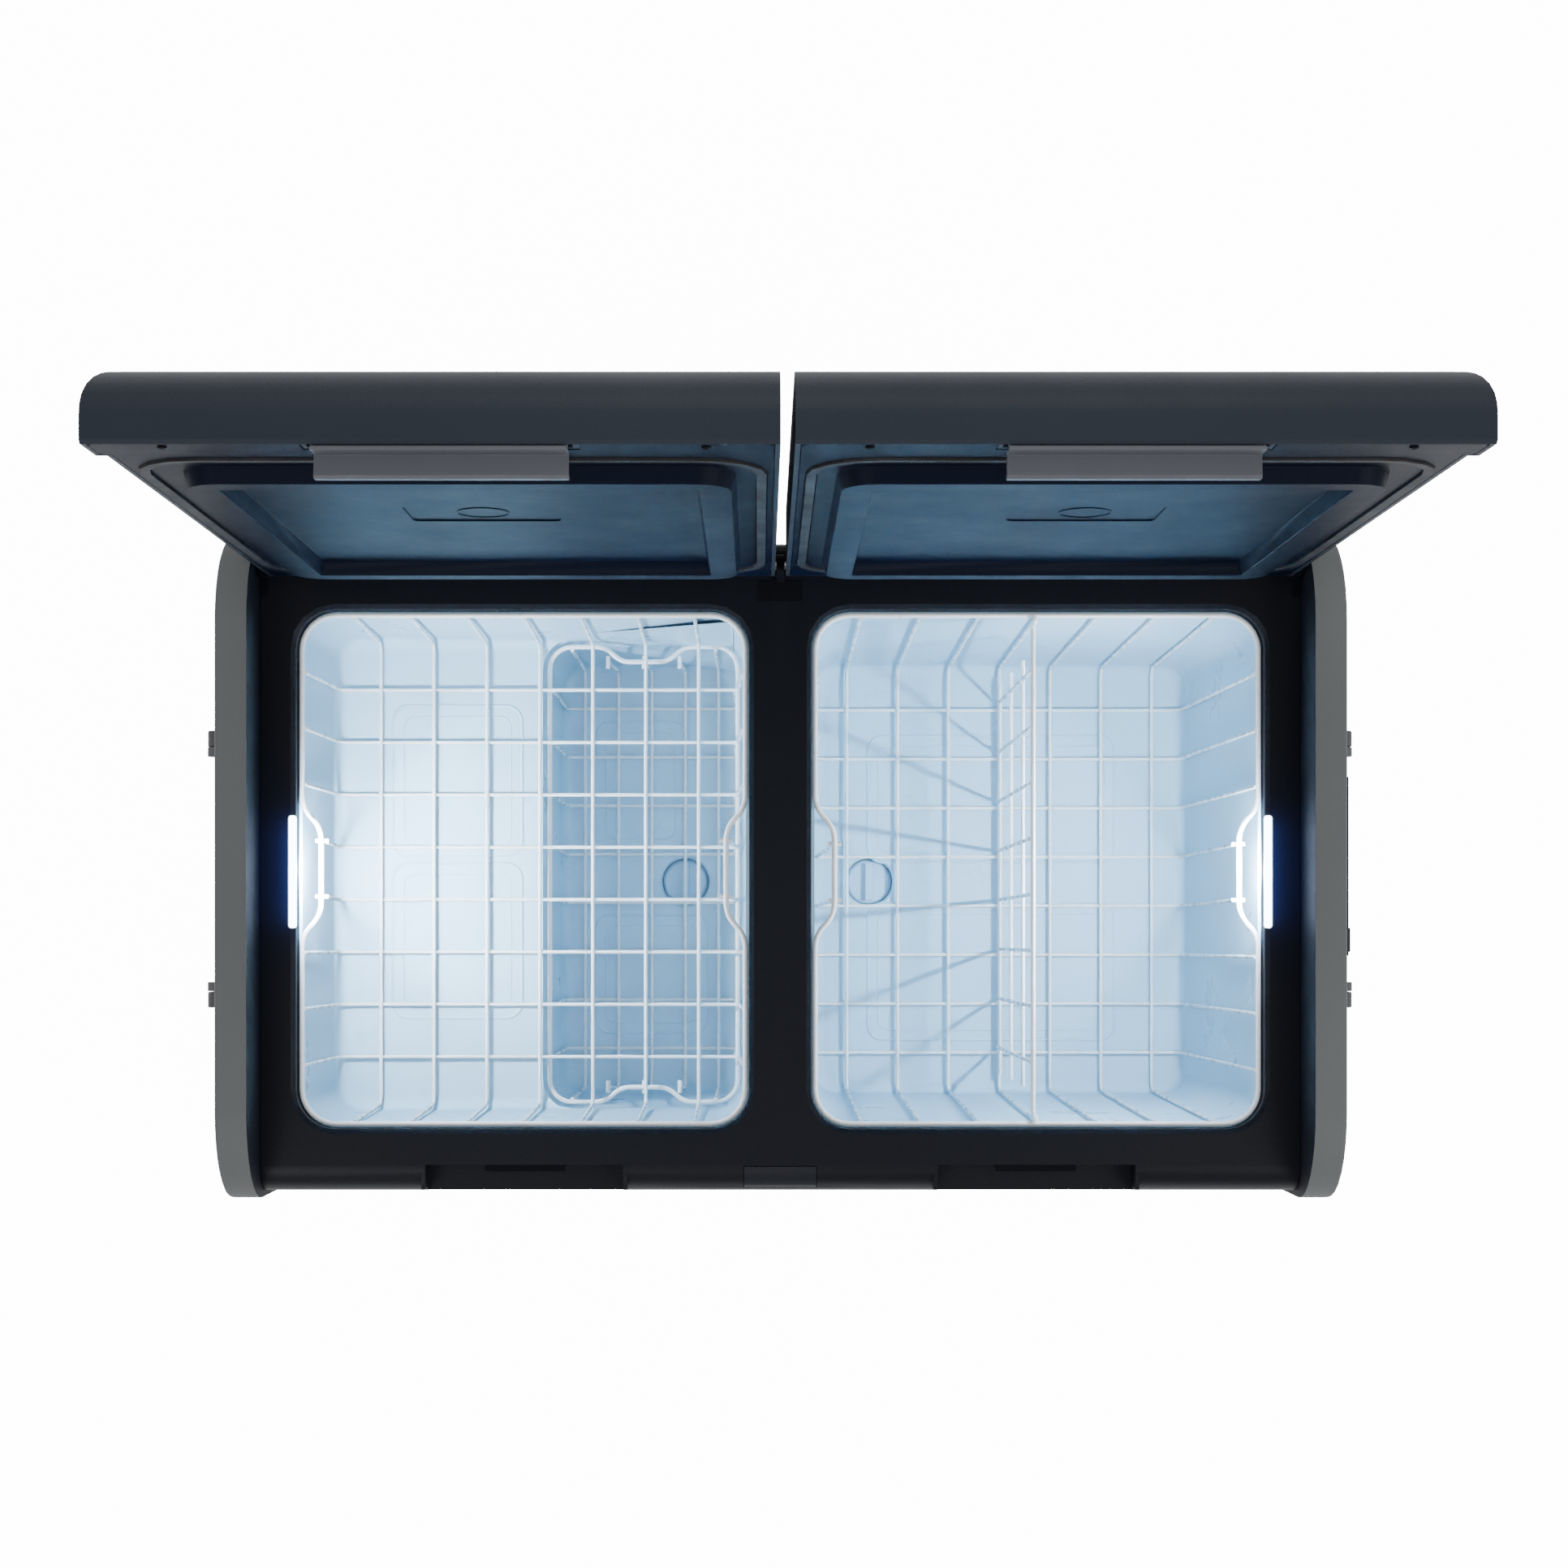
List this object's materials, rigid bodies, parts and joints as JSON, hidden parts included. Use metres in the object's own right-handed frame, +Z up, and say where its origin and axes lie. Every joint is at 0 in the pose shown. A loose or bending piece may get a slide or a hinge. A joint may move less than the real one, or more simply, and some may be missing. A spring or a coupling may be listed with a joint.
{
  "type": "compressor cooler fridge",
  "caption": "Chest cooler fridge with a compressor, twin side-by-side hinged lids standing open, stepped and deep lit compartments, lift-out wire baskets, latches and folding end handles.",
  "frame": {"origin": "middle of the footprint of the whole object with its lids open, at the bottom of the feet", "axes": "+Z up, -Y the front with the latches, +X the end with the control module, -X the end over the compressor"},
  "size_m": [0.892, 0.5146, 0.904],
  "materials": {
    "skin_plastic": "satin",
    "foot_rubber": "matte",
    "frame_plastic": "satin",
    "cap_plastic": "gloss",
    "foam": "matte",
    "end_plastic": "satin",
    "liner_plastic": "satin",
    "aluminium": "satin",
    "lens": "gloss",
    "plug_rubber": "satin",
    "steel": "satin",
    "dark_steel": "satin",
    "compressor_steel": "satin",
    "handle_plastic": "satin",
    "lid_plastic": "satin",
    "lid_liner_plastic": "satin",
    "gasket_rubber": "matte",
    "latch_plastic": "satin",
    "window": "gloss",
    "board": "satin",
    "button_plastic": "satin",
    "fan_plastic": "satin",
    "copper": "satin",
    "basket_wire": "satin"
  },
  "bodies": {
    "body": {"base_pan": "skin_plastic", "front_panel": "skin_plastic", "back_panel": "skin_plastic", "foot_front_left": "foot_rubber", "foot_front_right": "foot_rubber", "foot_back_left": "foot_rubber", "foot_back_right": "foot_rubber", "top_frame": "frame_plastic", "vent_grille": "frame_plastic", "power_inlet": "frame_plastic", "display_bezel": "frame_plastic", "centre_cap": "cap_plastic", "insulation": "foam", "end_panel_left": "end_plastic", "end_panel_right": "end_plastic", "liner_left": "liner_plastic", "liner_right": "liner_plastic", "evaporator_left": "aluminium", "evaporator_right": "aluminium", "condenser": "aluminium", "led_lens_left": "lens", "led_lens_right": "lens", "hinge_pin_left": "steel", "hinge_pin_right": "steel", "hinge_pin_centre": "steel", "latch_strike_left": "dark_steel", "latch_strike_right": "dark_steel", "hinge_bracket_left": "dark_steel", "hinge_bracket_right": "dark_steel", "hinge_bracket_centre": "dark_steel", "compressor": "compressor_steel", "display_window": "window", "display_board": "board", "controller_board": "board", "fan_shroud": "fan_plastic", "filter_drier": "copper", "discharge_pipe": "copper"},
    "lid_left": {"lid_cover_left": "lid_plastic", "lid_liner_left": "lid_liner_plastic", "lid_foam_left": "foam", "lid_gasket_left": "gasket_rubber"},
    "latch_left": {"latch_left": "latch_plastic"},
    "handle_left": {"handle_left": "handle_plastic"},
    "drain_plug_left": {"drain_plug_left": "plug_rubber"},
    "lid_right": {"lid_cover_right": "lid_plastic", "lid_liner_right": "lid_liner_plastic", "lid_foam_right": "foam", "lid_gasket_right": "gasket_rubber"},
    "latch_right": {"latch_right": "latch_plastic"},
    "handle_right": {"handle_right": "handle_plastic"},
    "drain_plug_right": {"drain_plug_right": "plug_rubber"},
    "basket_left_lower": {"basket_left_lower": "basket_wire"},
    "basket_left_upper": {"basket_left_upper": "basket_wire"},
    "basket_right": {"basket_right": "basket_wire"},
    "basket_divider": {"basket_divider": "basket_wire"},
    "button_power": {"button_power": "button_plastic"},
    "button_down": {"button_down": "button_plastic"},
    "button_up": {"button_up": "button_plastic"},
    "usb_cover": {"usb_cover": "gasket_rubber"},
    "fan": {"fan_rotor": "fan_plastic"}
  },
  "joints": [
    {"name": "lid_left_hinge", "type": "hinge", "parent": "body", "child": "lid_left", "pos_m": [-0.196, 0.21425, 0.434], "axis": [-1, 0, 0], "range_deg": [-90, 0]},
    {"name": "lid_right_hinge", "type": "hinge", "parent": "body", "child": "lid_right", "pos_m": [0.196, 0.21425, 0.434], "axis": [-1, 0, 0], "range_deg": [-90, 0]},
    {"name": "latch_left_pull", "type": "hinge", "parent": "lid_left", "child": "latch_left", "pos_m": [-0.1915, 0.22925, 0.896], "axis": [-1, 0, 0], "range_deg": [0, 6], "stiffness_Nm_per_rad": 0.05, "springref_deg": -22.92},
    {"name": "latch_right_pull", "type": "hinge", "parent": "lid_right", "child": "latch_right", "pos_m": [0.1915, 0.22925, 0.896], "axis": [-1, 0, 0], "range_deg": [0, 6], "stiffness_Nm_per_rad": 0.05, "springref_deg": -22.92},
    {"name": "handle_left_fold", "type": "hinge", "parent": "body", "child": "handle_left", "pos_m": [-0.429, -0.00975, 0.385], "axis": [0, 1, 0], "range_deg": [0, 100]},
    {"name": "handle_right_fold", "type": "hinge", "parent": "body", "child": "handle_right", "pos_m": [0.429, -0.00975, 0.385], "axis": [0, -1, 0], "range_deg": [0, 100]},
    {"name": "basket_left_lower_lift", "type": "slide", "parent": "body", "child": "basket_left_lower", "axis": [0, 0, 1], "range_m": [0, 0.32]},
    {"name": "basket_left_upper_lift", "type": "slide", "parent": "basket_left_lower", "child": "basket_left_upper", "axis": [0, 0, 1], "range_m": [0, 0.16]},
    {"name": "basket_right_lift", "type": "slide", "parent": "body", "child": "basket_right", "axis": [0, 0, 1], "range_m": [0, 0.32]},
    {"name": "basket_divider_lift", "type": "slide", "parent": "basket_right", "child": "basket_divider", "axis": [0, 0, 1], "range_m": [0, 0.28]},
    {"name": "drain_plug_left_turn", "type": "hinge", "parent": "body", "child": "drain_plug_left", "pos_m": [-0.08, -0.01275, 0.118], "axis": [0, 0, 1], "range_deg": [0, 90]},
    {"name": "drain_plug_right_turn", "type": "hinge", "parent": "body", "child": "drain_plug_right", "pos_m": [0.08, -0.01275, 0.118], "axis": [0, 0, 1], "range_deg": [0, 90]},
    {"name": "button_power_press", "type": "slide", "parent": "body", "child": "button_power", "axis": [-1, 0, 0], "range_m": [0, 0.001], "stiffness_N_per_m": 300, "springref_m": -0.001},
    {"name": "button_down_press", "type": "slide", "parent": "body", "child": "button_down", "axis": [-1, 0, 0], "range_m": [0, 0.001], "stiffness_N_per_m": 300, "springref_m": -0.001},
    {"name": "button_up_press", "type": "slide", "parent": "body", "child": "button_up", "axis": [-1, 0, 0], "range_m": [0, 0.001], "stiffness_N_per_m": 300, "springref_m": -0.001},
    {"name": "usb_cover_flap", "type": "hinge", "parent": "body", "child": "usb_cover", "pos_m": [0.4182, -0.06375, 0.449], "axis": [0, -1, 0], "range_deg": [0, 100]},
    {"name": "fan_spin", "type": "hinge", "parent": "body", "child": "fan", "pos_m": [-0.361, -0.01975, 0.1], "axis": [1, 0, 0], "continuous": true}
  ]
}
